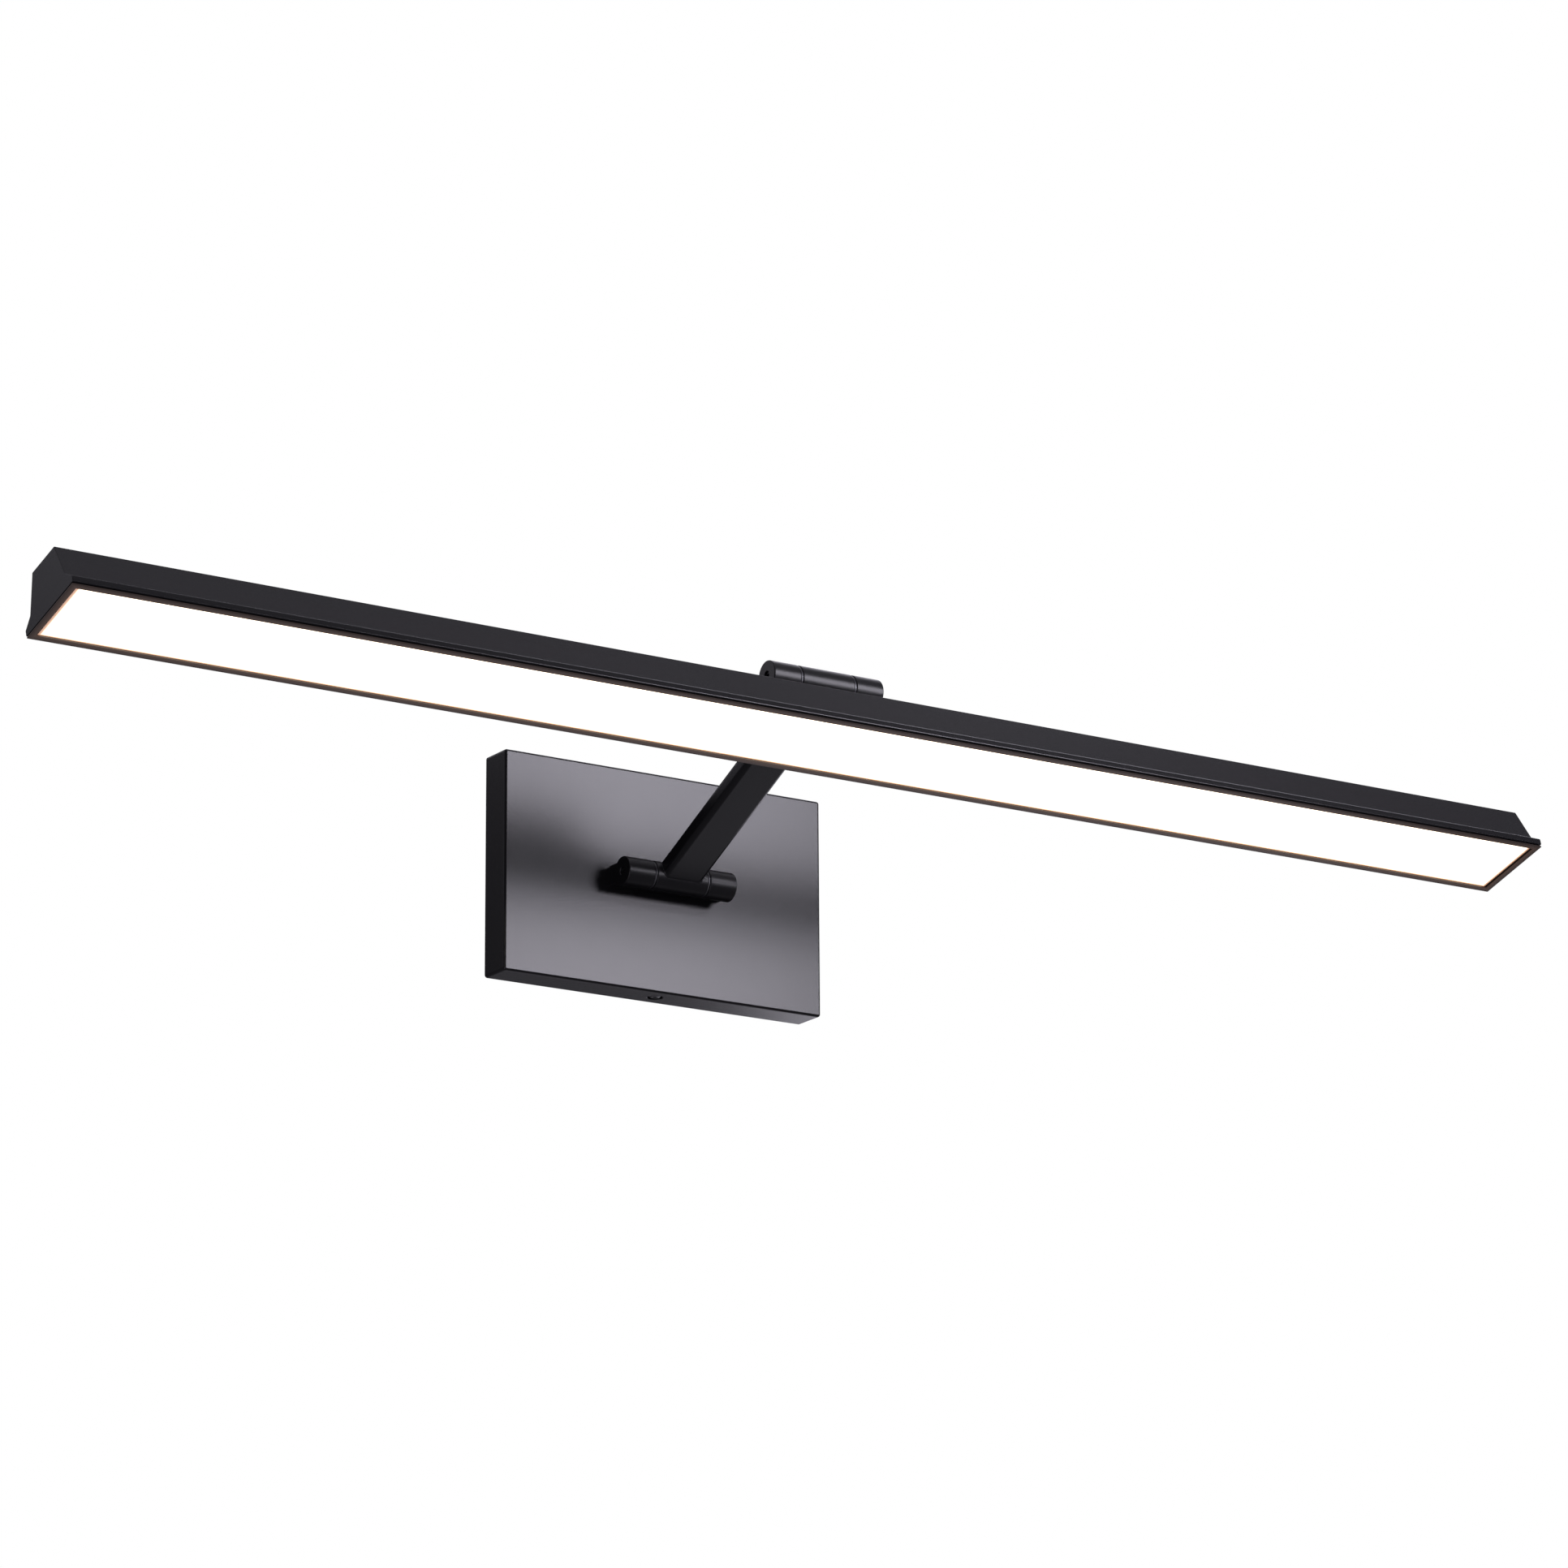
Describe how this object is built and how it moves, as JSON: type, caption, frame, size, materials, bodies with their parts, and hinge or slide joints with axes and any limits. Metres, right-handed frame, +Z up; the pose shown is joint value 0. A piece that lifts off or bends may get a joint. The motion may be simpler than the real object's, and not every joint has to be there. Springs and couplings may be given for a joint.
{
  "type": "picture light",
  "caption": "Wall-mounted LED picture light: a long trapezoid head with an opal panel underneath, carried by a flat arm with a friction hinge at each end and a rectangular wall plate.",
  "frame": {"origin": "centre of the mounting bracket's back, on the wall plane, which is also the centre of the wall plate's open back", "axes": "+X along the head, to the right as seen from the room; +Y into the wall; +Z up"},
  "size_m": [0.905, 0.212, 0.1408],
  "materials": {
    "satin_black": "satin black powder coat over aluminium and steel",
    "zinc_steel": "bright zinc plating",
    "black_steel": "black oxide",
    "brass": "turned, bare",
    "washer_steel": "plain turned steel",
    "opal": "fine satin opal acrylic, lit from behind",
    "circuit_white": "white solder mask",
    "white_plastic": "white, slightly glossy",
    "driver_case": "moulded off-white",
    "foam": "closed-cell foam tape",
    "sheath_black": "PVC sheath",
    "sheath_white": "PVC sheath",
    "sheath_green": "PVC sheath and green-passivated screw",
    "cap_orange": "moulded, ribbed"
  },
  "bodies": {
    "wall_mount": {"wall_plate": "satin_black", "mounting_bracket": "zinc_steel", "plate_screw_bottom": "black_steel", "plate_screw_top": "black_steel", "box_screw_left": "zinc_steel", "box_screw_right": "zinc_steel", "ground_screw": "sheath_green", "led_driver": "driver_case", "driver_pad": "foam", "live_lead": "sheath_black", "neutral_lead": "sheath_white", "ground_lead": "sheath_green", "wire_cap_live": "cap_orange", "wire_cap_neutral": "cap_orange", "wire_cap_ground": "cap_orange", "driver_cable": "sheath_black", "lower_lug_left": "satin_black", "lower_lug_right": "satin_black", "lower_lug_nut_left": "zinc_steel", "lower_lug_nut_right": "zinc_steel", "lower_pivot_screw": "black_steel", "lower_pivot_bush": "brass", "lower_washer_left": "washer_steel", "lower_washer_right": "washer_steel"},
    "arm": {"lower_barrel": "satin_black", "arm_tube": "satin_black", "upper_barrel": "satin_black", "arm_cable": "sheath_black"},
    "head": {"housing": "satin_black", "end_cap_left": "satin_black", "end_cap_right": "satin_black", "bezel_frame": "satin_black", "diffuser": "opal", "led_board": "circuit_white", "reflector": "white_plastic", "board_connector": "white_plastic", "head_lead": "sheath_black", "upper_lug_left": "satin_black", "upper_lug_right": "satin_black", "upper_lug_nut_left": "zinc_steel", "upper_lug_nut_right": "zinc_steel", "upper_pivot_screw": "black_steel", "upper_pivot_bush": "brass", "upper_washer_left": "washer_steel", "upper_washer_right": "washer_steel"}
  },
  "joints": [
    {"name": "arm_tilt", "type": "hinge", "parent": "wall_mount", "child": "arm", "pos_m": [0, -0.032, 0], "axis": [-1, 0, 0], "range_deg": [-65, 48]},
    {"name": "head_tilt", "type": "hinge", "parent": "arm", "child": "head", "pos_m": [0, -0.17608, 0.07184], "axis": [-1, 0, 0], "range_deg": [-8, 75]}
  ]
}
